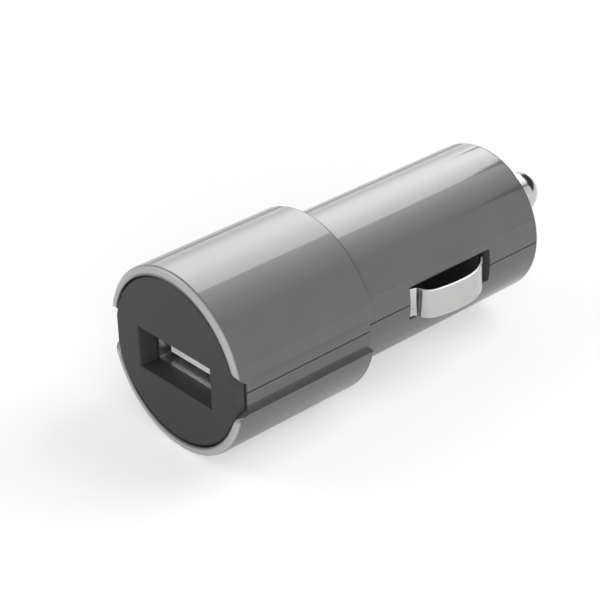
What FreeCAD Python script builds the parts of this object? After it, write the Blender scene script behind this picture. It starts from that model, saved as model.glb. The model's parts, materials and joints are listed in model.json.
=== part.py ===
"""A 12 V car plug with one USB charging port.

The plug lies on the belly of its head. It is drawn with its axis along Y, the port's face at
Y = 0 and the sprung tip towards +Y. Every sub-part then moves to the origin under its middle.
All sizes are millimetres.
"""
import FreeCAD, Part
import math
import os

import Sketcher
from FreeCAD import Placement, Rotation, Vector

# The driving dimensions, in the order in which the plug goes together.
SIZES = [
    ("head_radius", 12.3, "outer radius of the head"),
    ("head_length", 21.6, "front face to the step"),
    ("head_wall", 1.3, "wall of the head"),
    ("barrel_radius", 10.2, "outer radius of the barrel"),
    ("barrel_length", 31.4, "step to the barrel's rear end"),
    ("barrel_wall", 1.2, "wall of the barrel"),
    ("step_wall", 1.4, "wall behind the step"),
    ("end_wall", 1.4, "wall of the barrel's rear end"),
    ("lip_round", 0.55, "rounding of the lip's outer edge"),
    ("step_round", 0.3, "rounding of the step's rim"),
    ("end_round", 0.4, "rounding of the rear end's rim"),
    ("seam_width", 0.16, "open joint line between the shells"),
    ("seam_depth", 0.35, "depth of the joint line"),
    ("insert_half_height", 10.95, "half height of the oval insert"),
    ("insert_flat", 11.18, "flat side of the insert, from the axis"),
    ("insert_shoulder", 1.99, "half height of that flat side"),
    ("insert_plate", 1.5, "thickness of the insert's face"),
    ("insert_bevel", 0.35, "broken edge of the insert's face"),
    ("insert_gap", 0.08, "clearance round the insert"),
    ("rib_radius", 10.0, "bore of the rib that holds the insert"),
    ("rib_width", 1.1, "width of that rib"),
    ("flange_width", 1.0, "flange behind the rib"),
    ("collar_length", 2.4, "collar round the receptacle"),
    ("collar_wall", 1.1, "wall of that collar"),
    ("channel_flat", 11.28, "floor of the side channels, from the axis"),
    ("channel_half_height", 2.4, "half height of the side channels"),
    ("channel_backing", 1.2, "wall behind the side channels"),
    ("backing_height", 4.7, "height of that wall from the joint"),
    ("notch_depth", 1.85, "depth of the cut-back in the lip"),
    ("notch_round", 1.7, "rounded mouth of that cut-back"),
    ("notch_above", 1.95, "cut-back above the joint"),
    ("notch_below", 2.4, "cut-back below the joint"),
    ("port_width", 13.5, "opening in the insert"),
    ("port_height", 5.7, "opening in the insert"),
    ("port_round", 0.25, "rounding of the opening's edge"),
    ("receptacle_width", 13.1, "steel shell, outside"),
    ("receptacle_height", 5.72, "steel shell, outside"),
    ("receptacle_length", 13.5, "steel shell"),
    ("receptacle_sheet", 0.3, "thickness of the steel"),
    ("receptacle_recess", 2.7, "front face to the steel"),
    ("receptacle_round", 0.6, "outer bend of the steel"),
    ("receptacle_gap", 0.1, "clearance round the steel"),
    ("tongue_width", 11.1, "moulded tongue"),
    ("tongue_thickness", 1.84, "moulded tongue"),
    ("tongue_rise", 0.7, "steel floor to the tongue"),
    ("tongue_recess", 3.95, "front face to the tongue"),
    ("block_length", 3.0, "block behind the tongue"),
    ("contact_width", 1.0, "contact strip"),
    ("contact_thickness", 0.25, "contact strip"),
    ("contact_inner", 1.0, "inner contacts, from the middle"),
    ("contact_outer", 3.5, "outer contacts, from the middle"),
    ("contact_gap", 0.1, "clearance round a contact"),
    ("pin_reach", 0.8, "solder pins past the board"),
    ("board_thickness", 1.6, "circuit board"),
    ("board_front", 6.6, "front face to the board"),
    ("board_shoulder", 19.6, "end of the board's wide half"),
    ("board_rear", 31.0, "rear end of the board"),
    ("board_half_width", 9.4, "wide half of the board"),
    ("board_tail_half_width", 7.7, "narrow half of the board"),
    ("rail_width", 1.2, "rails under the board"),
    ("rail_gap", 0.1, "clearance beside the rails and over the board"),
    ("rail_length", 9.0, "rails under the board"),
    ("rail_front", 8.5, "front face to the rails"),
    ("saddle_width", 1.2, "ribs under the receptacle"),
    ("saddle_half_reach", 6.0, "ribs under the receptacle, from the middle"),
    ("saddle_front", 8.0, "front face to the first of those ribs"),
    ("saddle_pitch", 5.4, "between those ribs"),
    ("hold_down_grip", 1.8, "ribs over the board, inwards from its side"),
    ("hold_down_width", 1.2, "ribs over the board"),
    ("tab_front", 8.0, "front face to the steel's solder tabs"),
    ("tab_length", 2.0, "solder tabs"),
    ("tab_gap", 0.25, "clearance round a solder tab in the board"),
    ("contact_rise", 0.05, "contacts above the tongue"),
    ("contact_inset", 0.6, "tongue's front to the contacts"),
    ("pin_hole_radius", 0.65, "holes for the solder pins"),
    ("window_front", 29.66, "front face to the windows"),
    ("window_length", 14.24, "side windows"),
    ("window_half_height", 2.3, "side windows"),
    ("leaf_half_width", 1.98, "ground leaf"),
    ("leaf_thickness", 0.3, "ground leaf"),
    ("leaf_gap", 0.1, "window's front edge to the leaf's foot"),
    ("leaf_foot_inset", 0.7, "barrel's outside to the bend at the leaf's foot"),
    ("leaf_tab_width", 0.8, "tab under the leaf's foot"),
    ("leaf_tab_drop", 1.1, "tab under the leaf's foot"),
    ("leaf_travel", 2.3, "leaf, pressed into its window"),
    ("slot_gap", 0.1, "clearance round the leaf's tab"),
    ("slot_wall", 0.8, "walls of the slot for that tab"),
    ("leaf_foot_length", 2.0, "flat foot of the leaf"),
    ("leaf_corner_radius", 0.45, "bends at the leaf's foot"),
    ("leaf_shoulder_radius", 2.2, "bend at the leaf's shoulder"),
    ("leaf_crown_radius", 16.9, "crown of the leaf"),
    ("leaf_tail_radius", 6.9, "bend of the leaf's free end"),
    ("spring_wall_place", 44.4, "front face to the wall behind the spring"),
    ("spring_wall_thickness", 1.0, "wall behind the spring"),
    ("seat_plate", 0.4, "solder cup of the spring"),
    ("seat_rim", 0.5, "rim of the solder cup"),
    ("seat_gap", 0.1, "clearance round the spring in its cup"),
    ("spring_radius", 3.1, "mean radius of the coil"),
    ("spring_wire", 0.5, "spring wire diameter"),
    ("spring_turns", 3.5, "turns of the coil"),
    ("tip_radius", 2.9, "ball nose and shank"),
    ("tip_reach", 6.74, "barrel's end to the centre of the nose"),
    ("tip_rise", 0.85, "barrel's axis to the axis of the tip and its spring"),
    ("tip_gap", 0.12, "clearance round the shank"),
    ("flange_radius", 4.2, "flange that holds the tip in"),
    ("flange_thickness", 0.8, "flange that holds the tip in"),
    ("flange_rest_gap", 0.05, "flange to the end wall at rest"),
    ("spigot_radius", 1.5, "pilot inside the spring"),
    ("spigot_length", 1.5, "pilot inside the spring"),
    ("boss_radius", 1.1, "locating boss"),
    ("boss_pin_radius", 0.55, "locating pin"),
    ("boss_pin_length", 1.2, "locating pin"),
    ("boss_gap", 0.08, "clearance round the locating pin"),
    ("boss_offset", 2.1, "bore of the barrel to the bosses' middle"),
    ("boss_inset", 3.2, "bosses, from the end wall"),
    ("wire_radius", 0.6, "insulated wire"),
    ("wire_hole_gap", 0.4, "clearance round the wire in the spring wall"),
    ("wire_bend", 4.0, "bends of the wire"),
    ("capacitor_radius", 2.5, "electrolytic capacitor"),
    ("capacitor_length", 7.0, "electrolytic capacitor"),
    ("capacitor_groove", 0.3, "crimp of the can"),
    ("capacitor_offset", 3.3, "capacitors, from the middle"),
    ("capacitor_place", 26.45, "front face to the capacitors"),
    ("inductor_radius", 3.8, "drum core"),
    ("inductor_height", 9.5, "drum core"),
    ("inductor_flange", 0.9, "ends of the drum core"),
    ("inductor_post", 1.8, "post of the drum core"),
    ("inductor_place", 20.8, "front face to the inductor"),
    ("winding_gap", 0.05, "winding to the core"),
    ("chip_length", 4.9, "controller"),
    ("chip_width", 3.9, "controller"),
    ("chip_height", 1.5, "controller"),
    ("chip_place", 20.0, "front face to the controller"),
    ("chip_standoff", 0.1, "controller above the board"),
    ("lead_width", 0.4, "controller's legs"),
    ("lead_pitch", 1.27, "controller's legs"),
    ("lead_reach", 1.05, "controller's legs"),
    ("lead_thickness", 0.22, "controller's legs"),
    ("lead_height", 0.8, "controller's legs"),
    ("end_cap", 0.35, "metal ends of the small parts"),
    ("end_cap_rise", 0.04, "metal ends proud of the small parts"),
    ("diode_length", 4.3, "diode"),
    ("diode_width", 2.6, "diode"),
    ("diode_height", 2.0, "diode"),
    ("diode_offset", 6.1, "diode, from the middle"),
    ("diode_place", 14.0, "front face to the diode"),
    ("resistor_length", 2.0, "chip resistors"),
    ("resistor_width", 1.25, "chip resistors"),
    ("resistor_height", 0.5, "chip resistors"),
    ("resistor_offset", 6.0, "chip resistors, from the middle"),
    ("resistor_place", 12.4, "front face to the first chip resistor"),
    ("resistor_pitch", 2.4, "between the chip resistors"),
    ("ceramic_length", 3.2, "ceramic capacitor"),
    ("ceramic_width", 1.6, "ceramic capacitor"),
    ("ceramic_height", 1.2, "ceramic capacitor"),
    ("ceramic_place", 18.0, "front face to the ceramic capacitor"),
    ("wire_straight", 4.4, "straight run of the wire from the spring's cup"),
    ("wire_slope", 8.0, "sloping run of the wire"),
    ("wire_flat", 7.0, "run of the wire under the board"),
    ("wire_clearance", 0.03, "wire to the board"),
]

SHEET = "Sizes"

# Straight facets that stand for a rounded rim of the turned housing.
ROUNDING_FACETS = 3

# Facets round one turn of the tip's spring, round any wire, and in each bend of the insulated wire.
COIL_FACETS = 16
WIRE_FACETS = 8
BEND_FACETS = 3

# Sides of the slim upright posts and holes.
POST_SIDES = 12

# Turns of the ground leaf's bends, in degrees, from its foot to its free end.
FOOT_TURN = 90
RETURN_TURN = 84
SHOULDER_TURN = 70
CROWN_TURN = 18
TAIL_TURN = 56

document = FreeCAD.newDocument("CarPlug")
sheet = document.addObject("Spreadsheet::Sheet", SHEET)
for row, (alias, number, note) in enumerate(SIZES, start=1):
    sheet.set(f"A{row}", alias)
    sheet.set(f"B{row}", str(number))
    sheet.setAlias(f"B{row}", alias)
    sheet.set(f"C{row}", note)
document.recompute()


def read(alias):
    """A driving dimension as a number, for shapes that are set directly."""
    return float(sheet.get(alias))


# Places that follow from the driving dimensions, as expressions on the sheet.
BARREL_END = "(Sizes.head_length + Sizes.barrel_length)"
TIP_CENTRE = f"({BARREL_END} + Sizes.tip_reach)"
WHOLE_LENGTH = f"({TIP_CENTRE} + Sizes.tip_radius)"
HEAD_BORE = "(Sizes.head_radius - Sizes.head_wall)"
BARREL_BORE = "(Sizes.barrel_radius - Sizes.barrel_wall)"
STEP_INSIDE = "(Sizes.head_length - Sizes.step_wall)"
END_INSIDE = f"({BARREL_END} - Sizes.end_wall)"
RIB_FRONT = "(Sizes.insert_plate + Sizes.insert_gap)"
RIB_REAR = f"({RIB_FRONT} + Sizes.rib_width)"
FLANGE_FRONT = f"({RIB_REAR} + Sizes.insert_gap)"
FLANGE_REAR = f"({FLANGE_FRONT} + Sizes.flange_width)"
BACKING = "(Sizes.channel_flat - Sizes.channel_backing)"
PORT_MIDDLE = "(-Sizes.board_thickness / 2)"
BOARD_BOTTOM = f"({PORT_MIDDLE} + Sizes.receptacle_height / 2)"
BOARD_TOP = f"({BOARD_BOTTOM} + Sizes.board_thickness)"
STEEL_REAR = "(Sizes.receptacle_recess + Sizes.receptacle_length)"
STEEL_INNER_WIDTH = "(Sizes.receptacle_width / 2 - Sizes.receptacle_sheet)"
STEEL_INNER_HEIGHT = "(Sizes.receptacle_height / 2 - Sizes.receptacle_sheet)"
TONGUE_BOTTOM = f"({PORT_MIDDLE} - {STEEL_INNER_HEIGHT} + Sizes.tongue_rise)"
TONGUE_TOP = f"({TONGUE_BOTTOM} + Sizes.tongue_thickness)"
CONTACT_TOP = f"({TONGUE_TOP} + Sizes.contact_rise)"
CONTACT_BOTTOM = f"({CONTACT_TOP} - Sizes.contact_thickness)"
CONTACT_REAR = f"({STEEL_REAR} + Sizes.contact_gap + Sizes.contact_thickness)"
PIN_TOP = f"({BOARD_TOP} + Sizes.pin_reach)"
STEEL_BOTTOM = f"({PORT_MIDDLE} - Sizes.receptacle_height / 2)"
WINDOW_REAR = "(Sizes.window_front + Sizes.window_length)"
SPRING_WALL_REAR = "(Sizes.spring_wall_place + Sizes.spring_wall_thickness)"
SPRING_FRONT = f"({SPRING_WALL_REAR} + Sizes.seat_plate)"
FLANGE_TOP = f"({END_INSIDE} - Sizes.flange_rest_gap)"
FLANGE_FOOT = f"({FLANGE_TOP} - Sizes.flange_thickness)"
BOSS_PLACE = f"({END_INSIDE} - Sizes.boss_inset)"
BOSS_OFFSET = f"({BARREL_BORE} - Sizes.boss_offset)"
HEAD_MIDWALL = "(Sizes.head_radius - Sizes.head_wall / 2)"
BARREL_MIDWALL = "(Sizes.barrel_radius - Sizes.barrel_wall / 2)"
LEAF_FOOT_OUTER = "(Sizes.barrel_radius - Sizes.leaf_foot_inset)"
LEAF_FOOT_INNER = f"({LEAF_FOOT_OUTER} - Sizes.leaf_foot_length)"
INSERT_RISE = "(Sizes.insert_half_height - Sizes.insert_shoulder)"
INSERT_ARC = f"((Sizes.insert_flat ^ 2 + {INSERT_RISE} ^ 2) / (2 * {INSERT_RISE}))"
INSERT_CENTRE = f"({INSERT_ARC} - Sizes.insert_half_height)"
OUTSIDE = "(Sizes.head_radius * 2)"

ALONG_Y = Rotation(Vector(1, 0, 0), -90)
UPRIGHT = Rotation()
SIDES = (("right", 1), ("left", -1))

sub_parts = []


def place(item, x="0", y="0", z="0", turn=UPRIGHT):
    """Put a shape where the sheet says."""
    item.Placement = Placement(Vector(), turn)
    for axis, expression in (("x", x), ("y", y), ("z", z)):
        item.setExpression(f"Placement.Base.{axis}", expression)
    return item


def finish(item, name, x="0", y="0", z="0"):
    """Keep a shape as a sub-part; the plug's middle goes over the origin, on its belly."""
    item.Label = name
    place(item, x, f"{y} - {WHOLE_LENGTH} / 2", f"{z} + Sizes.head_radius")
    sub_parts.append(item)


def block(name, x, y, z):
    """A box between two expressions on each axis."""
    item = document.addObject("Part::Box", name)
    for side, (low, high) in (("Length", x), ("Width", y), ("Height", z)):
        item.setExpression(side, f"({high}) - ({low})")
    return place(item, x[0], y[0], z[0])


def on_side(sign, near, far):
    """A span across the plug, from the axis outwards, on the right or the left."""
    return (near, far) if sign > 0 else (f"-({far})", f"-({near})")


def evenly(half):
    """A span of a half width each way."""
    return (f"-({half})", half)


def around(middle, width):
    """A span of a width about its middle."""
    return (f"{middle} - ({width}) / 2", f"{middle} + ({width}) / 2")


def rod(name, radius, y, z="0"):
    """A cylinder along the plug's axis."""
    item = document.addObject("Part::Cylinder", name)
    item.setExpression("Radius", radius)
    item.setExpression("Height", f"({y[1]}) - ({y[0]})")
    return place(item, "0", y[0], z, ALONG_Y)


def post(name, radius, x, y, z):
    """A slim round post that stands upright."""
    item = document.addObject("Part::Prism", name)
    item.Polygon = POST_SIDES
    item.setExpression("Circumradius", radius)
    item.setExpression("Height", f"({z[1]}) - ({z[0]})")
    return place(item, x, y, z[0])


def taper(name, radius, depth, z):
    """A cone along the plug's axis that widens to a radius over the first part of its depth."""
    item = document.addObject("Part::Cone", name)
    item.setExpression("Radius1", f"({radius}) - ({depth})")
    item.setExpression("Radius2", radius)
    item.setExpression("Height", depth)
    return place(item, "0", "0", z, ALONG_Y)


def oval(name, grow, y):
    """The insert's outline, between two wide arcs, grown by a clearance."""
    return overlap(name, rod(name + "_top", f"{INSERT_ARC} + {grow}", y, f"-{INSERT_CENTRE}"),
                   rod(name + "_bottom", f"{INSERT_ARC} + {grow}", y, INSERT_CENTRE))


def join(name, pieces):
    """Several shapes as one."""
    item = document.addObject("Part::MultiFuse", name)
    item.Shapes = pieces
    item.Refine = True
    return item


def cut(name, base, tool):
    """One shape less another."""
    item = document.addObject("Part::Cut", name)
    item.Base = base
    item.Tool = tool
    item.Refine = True
    return item


def overlap(name, first, second):
    """What two shapes share."""
    item = document.addObject("Part::Common", name)
    item.Base = first
    item.Tool = second
    return item


def dress(kind, name, base, size, wanted):
    """Round or bevel the edges that a test picks."""
    document.recompute()
    item = document.addObject(kind, name)
    item.Base = base
    item.Edges = [(i, size, size) for i, edge in enumerate(base.Shape.Edges, start=1) if wanted(edge)]
    return item


def round_off(name, base, radius, wanted):
    """Round the edges that a test picks."""
    return dress("Part::Fillet", name, base, radius, wanted)


def origin_part(body, role):
    """A plane of a body's own origin."""
    return next(part for part in body.Origin.OriginFeatures if part.Role == role)


def attached_sketch(body, name, plane):
    """An empty sketch on a plane of the body's origin."""
    sketch = body.newObject("Sketcher::SketchObject", name)
    sketch.AttachmentSupport = [(origin_part(body, plane), "")]
    sketch.MapMode = "FlatFace"
    return sketch


def pin_down(sketch, geometry, point, start, expressions):
    """Fix a point of a sketch by its two distances from the origin."""
    for kind, first, expression in zip(("DistanceX", "DistanceY"), start, expressions):
        number = sketch.addConstraint(Sketcher.Constraint(kind, -1, 1, geometry, point, first))
        sketch.setExpression(f"Constraints[{number}]", expression)


def outline(body, name, plane, corners):
    """A closed sketch whose corners are pairs of expressions."""
    sketch = attached_sketch(body, name, plane)
    count = len(corners)
    angles = [math.tau * i / count for i in range(count)]
    ring = [Vector(10 * math.cos(angle), 10 * math.sin(angle), 0) for angle in angles]
    for i in range(count):
        sketch.addGeometry(Part.LineSegment(ring[i], ring[(i + 1) % count]), False)
    for i in range(count):
        sketch.addConstraint(Sketcher.Constraint("Coincident", i, 2, (i + 1) % count, 1))
    for i, corner in enumerate(corners):
        pin_down(sketch, i, 1, ring[i], corner)
    return sketch


def turned(name, corners, plane="XY_Plane", angle=360, reverse=False):
    """A body turned about the sketch's upright axis; corners are radius and place."""
    body = document.addObject("PartDesign::Body", name)
    section = outline(body, name + "_section", plane, corners)
    turn = body.newObject("PartDesign::Revolution", name + "_turn")
    turn.Profile = section
    turn.ReferenceAxis = (section, ["V_Axis"])
    turn.Angle = angle
    turn.Reversed = reverse
    return body


def padded(name, plane, corners, length, both_ways=False):
    """A body raised from an outline."""
    body = document.addObject("PartDesign::Body", name)
    section = outline(body, name + "_section", plane, corners)
    raised = body.newObject("PartDesign::Pad", name + "_pad")
    raised.Profile = section
    raised.setExpression("Length", length)
    raised.Midplane = both_ways
    return body


def rounded(corner, towards_axis, along, radius):
    """Facets round an outer rim of a turned profile, from its face to its wall."""
    facets = []
    for i in range(ROUNDING_FACETS + 1):
        angle = math.pi / 2 * i / ROUNDING_FACETS
        inwards, onwards = 1 - math.sin(angle), 1 - math.cos(angle)
        facets.append((f"{corner[0]} - {inwards:.4f} * {radius}",
                       f"{corner[1]} {along} {onwards:.4f} * {radius}"))
    return facets if towards_axis else facets[::-1]


def runs_along_y(edge):
    """A test for straight edges along the plug's axis."""
    first, last = edge.Vertexes[0].Point, edge.Vertexes[-1].Point
    return abs(first.x - last.x) + abs(first.z - last.z) < 1e-6 and abs(first.y - last.y) > 1e-3


# The two moulded shells

def shell_blank(name, upper):
    """Half of the turned housing, with its insert rib, spring wall and end wall."""
    corners = [
        ("Sizes.rib_radius", "0"),
        *rounded(("Sizes.head_radius", "0"), True, "+", "Sizes.lip_round"),
        *rounded(("Sizes.head_radius", "Sizes.head_length"), False, "-", "Sizes.step_round"),
        ("Sizes.barrel_radius", "Sizes.head_length"),
        *rounded(("Sizes.barrel_radius", BARREL_END), False, "-", "Sizes.end_round"),
        ("0", BARREL_END),
        ("0", END_INSIDE),
        (BARREL_BORE, END_INSIDE),
        (BARREL_BORE, SPRING_WALL_REAR),
        ("Sizes.wire_radius + Sizes.wire_hole_gap", SPRING_WALL_REAR),
        ("Sizes.wire_radius + Sizes.wire_hole_gap", "Sizes.spring_wall_place"),
        (BARREL_BORE, "Sizes.spring_wall_place"),
        (BARREL_BORE, STEP_INSIDE),
        (HEAD_BORE, STEP_INSIDE),
        (HEAD_BORE, RIB_REAR),
        ("Sizes.rib_radius", RIB_REAR),
    ]
    return turned(name, corners, angle=180, reverse=upper)


def lip_notch():
    """The cut-back in both sides of the lip, with a flared mouth."""
    slot = block("notch_slot", evenly(OUTSIDE), ("-Sizes.notch_round", "Sizes.notch_depth"),
                 ("-Sizes.notch_below", "Sizes.notch_above"))
    mouth = block("notch_mouth", evenly(OUTSIDE), ("-Sizes.notch_round", "0"), evenly("Sizes.head_radius"))
    ends = (-read("notch_below"), read("notch_above"))

    def at_mouth(edge):
        middle = edge.CenterOfMass
        return abs(middle.x) + abs(middle.y) < 1e-4 and min(abs(middle.z - end) for end in ends) < 1e-4
    return round_off("notch", join("notch_sharp", [slot, mouth]), read("notch_round"), at_mouth)


def side_channels():
    """The shallow channel along each side of the head."""
    run = ("Sizes.notch_depth", "Sizes.head_length + 1")
    return [block(f"channel_{side}", on_side(sign, "Sizes.channel_flat", OUTSIDE), run,
                  evenly("Sizes.channel_half_height")) for side, sign in SIDES]


def seam_grooves():
    """The open joint line along both sides and across the rear end."""
    height = evenly("Sizes.seam_width / 2")
    end_run = (f"{BARREL_END} - Sizes.seam_depth", f"{BARREL_END} + 1")
    grooves = [block("seam_end", evenly(OUTSIDE), end_run, height)]
    runs = (("head", "Sizes.channel_flat", ("0", "Sizes.head_length + 1")),
            ("barrel", "Sizes.barrel_radius", ("Sizes.head_length", f"{BARREL_END} + 1")))
    for side, sign in SIDES:
        for part, floor, run in runs:
            reach = on_side(sign, f"{floor} - Sizes.seam_depth", OUTSIDE)
            grooves.append(block(f"seam_{part}_{side}", reach, run, height))
    return grooves


def housing_openings():
    """Everything that is cut through both shells."""
    seat = oval("insert_seat", "Sizes.insert_gap", ("-1", RIB_FRONT))
    windows = block("windows", evenly(OUTSIDE), ("Sizes.window_front", WINDOW_REAR),
                    evenly("Sizes.window_half_height"))
    tip_hole = rod("tip_hole", "Sizes.tip_radius + Sizes.tip_gap",
                   (f"{END_INSIDE} - Sizes.tip_gap", f"{BARREL_END} + 1"), "Sizes.tip_rise")
    return join("housing_openings", [seat, lip_notch(), windows, tip_hole] + side_channels() + seam_grooves())


def backings(name, height):
    """The thicker wall inside each side channel."""
    return [block(f"{name}_{side}", on_side(sign, BACKING, "Sizes.channel_flat"), (RIB_REAR, STEP_INSIDE),
                  height) for side, sign in SIDES]


def trimmed(name, piece, radius, run):
    """A rib or boss that ends in the middle of the round wall that carries it."""
    return overlap(name, piece, rod(name + "_limit", radius, run))


def pegs(name, radius, z):
    """One upright post on each side, beside the tip's spring."""
    return [post(f"{name}_{side}", radius, f"{sign} * {BOSS_OFFSET}", BOSS_PLACE, z) for side, sign in SIDES]


def bosses(name, z):
    """The bosses that line up the two shells behind the spring wall."""
    run = around(BOSS_PLACE, "3 * Sizes.boss_radius")
    return [trimmed(f"{name}_{number}", peg, BARREL_MIDWALL, run)
            for number, peg in enumerate(pegs(name, "Sizes.boss_radius", z), start=1)]


def hold_down_ribs():
    """Two ribs that hold the board down from above."""
    inner = "Sizes.board_half_width - Sizes.hold_down_grip"
    reach = (inner, f"{inner} + Sizes.hold_down_width")
    run = ("Sizes.rail_front", "Sizes.rail_front + Sizes.hold_down_width")
    height = (f"{BOARD_TOP} + Sizes.rail_gap", "Sizes.head_radius")
    return [trimmed(f"hold_down_{side}", block(f"hold_down_block_{side}", on_side(sign, *reach), run, height),
                    HEAD_MIDWALL, run) for side, sign in SIDES]


def board_rails():
    """Rails of the lower shell that carry the board and line up the shells."""
    run = ("Sizes.rail_front", "Sizes.rail_front + Sizes.rail_length")
    outer = f"({BACKING} - Sizes.rail_gap)"
    inner = f"({outer} - Sizes.rail_width)"
    rails = []
    for side, sign in SIDES:
        rails.append(block(f"rail_{side}", on_side(sign, inner, outer), run,
                           ("-Sizes.channel_half_height", BOARD_BOTTOM)))
        rails.append(block(f"rail_root_{side}", on_side(sign, inner, "Sizes.channel_flat"), run,
                           ("-Sizes.channel_half_height", "0")))
    return rails


def saddle_ribs():
    """Two ribs of the lower shell that the receptacle rests on."""
    ribs = []
    for number in (0, 1):
        front = f"(Sizes.saddle_front + {number} * Sizes.saddle_pitch)"
        run = (front, f"{front} + Sizes.saddle_width")
        rib = block(f"saddle_block_{number}", evenly("Sizes.saddle_half_reach"), run,
                    ("-Sizes.head_radius", f"{STEEL_BOTTOM} - Sizes.rail_gap"))
        ribs.append(trimmed(f"saddle_{number}", rib, HEAD_MIDWALL, run))
    return ribs


def leaf_slots():
    """Slotted ribs in the lower shell that guide the ground leaves' tabs, and the slots themselves."""
    tab_front = "(Sizes.window_front + Sizes.leaf_gap)"
    tab_rear = f"({tab_front} + Sizes.leaf_thickness)"
    tab_foot = "(-Sizes.leaf_half_width - Sizes.leaf_tab_drop)"
    outer = f"({LEAF_FOOT_INNER} + Sizes.leaf_tab_width)"
    inner = f"({LEAF_FOOT_INNER} - Sizes.leaf_travel - Sizes.slot_wall)"
    ribs, slots = [], []
    for side, sign in SIDES:
        run = (f"{tab_front} - Sizes.slot_gap - Sizes.slot_wall",
               f"{tab_rear} + Sizes.slot_gap + Sizes.slot_wall")
        rib = block(f"slot_block_{side}", on_side(sign, inner, outer), run,
                    (f"-{BARREL_BORE}", "-Sizes.window_half_height"))
        ribs.append(trimmed(f"slot_rib_{side}", rib, BARREL_MIDWALL, run))
        reach = (f"{inner} + Sizes.slot_wall / 2", f"{outer} + Sizes.slot_gap")
        slots.append(block(f"slot_{side}", on_side(sign, *reach),
                           (f"{tab_front} - Sizes.slot_gap", f"{tab_rear} + Sizes.slot_gap"),
                           (f"{tab_foot} - Sizes.slot_gap", "0")))
    return ribs, slots


def build_shells():
    """Both shells share one set of openings, so their windows and channels line up."""
    openings = housing_openings()
    upper_pieces = [shell_blank("upper_blank", True)]
    upper_pieces += backings("upper_backing", ("0", "Sizes.backing_height"))
    upper_pieces += bosses("upper_boss", ("0", BARREL_BORE))
    upper_pieces += hold_down_ribs()
    upper_open = cut("upper_open", join("upper_raw", upper_pieces), openings)
    pins = pegs("upper_pin", "Sizes.boss_pin_radius", ("-Sizes.boss_pin_length", "Sizes.boss_radius"))
    finish(join("upper_shell", [upper_open] + pins), "upper_shell")

    lower_pieces = [shell_blank("lower_blank", False)]
    lower_pieces += backings("lower_backing", ("-Sizes.backing_height", "0"))
    lower_pieces += bosses("lower_boss", (f"-{BARREL_BORE}", "0"))
    lower_pieces += board_rails() + saddle_ribs()
    slot_ribs, slots = leaf_slots()
    lower_pieces += slot_ribs
    lower_open = cut("lower_open", join("lower_raw", lower_pieces), openings)
    sockets = pegs("lower_socket", "Sizes.boss_pin_radius + Sizes.boss_gap",
                   ("-Sizes.boss_pin_length - Sizes.boss_gap", "1"))
    finish(cut("lower_shell", lower_open, join("lower_sockets", sockets + slots)), "lower_shell")


# The front insert and the receptacle

def build_insert():
    """The dark oval face, its groove for the shells' rib, and the collar of the receptacle."""
    nose = overlap("insert_nose",
                   taper("insert_nose_top", INSERT_ARC, "Sizes.insert_bevel", f"-{INSERT_CENTRE}"),
                   taper("insert_nose_bottom", INSERT_ARC, "Sizes.insert_bevel", INSERT_CENTRE))
    slug = join("insert_slug", [nose, oval("insert_oval", "0", ("Sizes.insert_bevel", "Sizes.insert_plate"))])

    def across_front(edge):
        first, last = edge.Vertexes[0].Point, edge.Vertexes[-1].Point
        return abs(first.y) + abs(last.y) < 1e-4 and abs(first.x - last.x) < 1e-4
    sides = dress("Part::Chamfer", "insert_sides",
                  block("insert_sides_sharp", evenly("Sizes.insert_flat"), ("0", "Sizes.insert_plate"),
                        evenly(OUTSIDE)), read("insert_bevel"), across_front)
    plate = overlap("insert_plate", slug, sides)
    core = rod("insert_core", "Sizes.rib_radius - Sizes.insert_gap", ("Sizes.insert_plate", FLANGE_FRONT))
    flange = overlap("insert_flange",
                     rod("insert_disc", f"{HEAD_BORE} - Sizes.insert_gap", (FLANGE_FRONT, FLANGE_REAR)),
                     block("insert_disc_sides", evenly(f"{BACKING} - Sizes.insert_gap"),
                           (FLANGE_FRONT, FLANGE_REAR), evenly(OUTSIDE)))
    pocket_width = "(Sizes.receptacle_width / 2 + Sizes.receptacle_gap)"
    pocket_height = "(Sizes.receptacle_height + 2 * Sizes.receptacle_gap)"
    collar = block("insert_collar", evenly(f"{pocket_width} + Sizes.collar_wall"),
                   (FLANGE_REAR, f"{FLANGE_REAR} + Sizes.collar_length"),
                   around(PORT_MIDDLE, f"{pocket_height} + 2 * Sizes.collar_wall"))
    solid = join("insert_solid", [plate, core, flange, collar])

    port = block("port_slot", evenly("Sizes.port_width / 2"), ("0", "Sizes.receptacle_recess + 1"),
                 around(PORT_MIDDLE, "Sizes.port_height"))
    mouth = block("port_mouth", evenly("Sizes.port_width"), ("-1", "0"),
                  around(PORT_MIDDLE, "Sizes.port_height * 2"))
    half_width = read("port_width") / 2
    half_height = read("port_height") / 2
    middle = -read("board_thickness") / 2

    def at_port_edge(edge):
        centre = edge.CenterOfMass
        beside = abs(abs(centre.x) - half_width) < 1e-4 or abs(abs(centre.z - middle) - half_height) < 1e-4
        return abs(centre.y) < 1e-4 and beside and abs(centre.x) < half_width + 1e-3
    flared = round_off("port_flared", join("port_sharp", [port, mouth]), read("port_round"), at_port_edge)
    pocket = block("port_pocket", evenly(pocket_width),
                   ("Sizes.receptacle_recess", f"{FLANGE_REAR} + Sizes.collar_length + 1"),
                   around(PORT_MIDDLE, pocket_height))
    finish(cut("face_insert", solid, join("port_hollow", [flared, pocket])), "face_insert")


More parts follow.
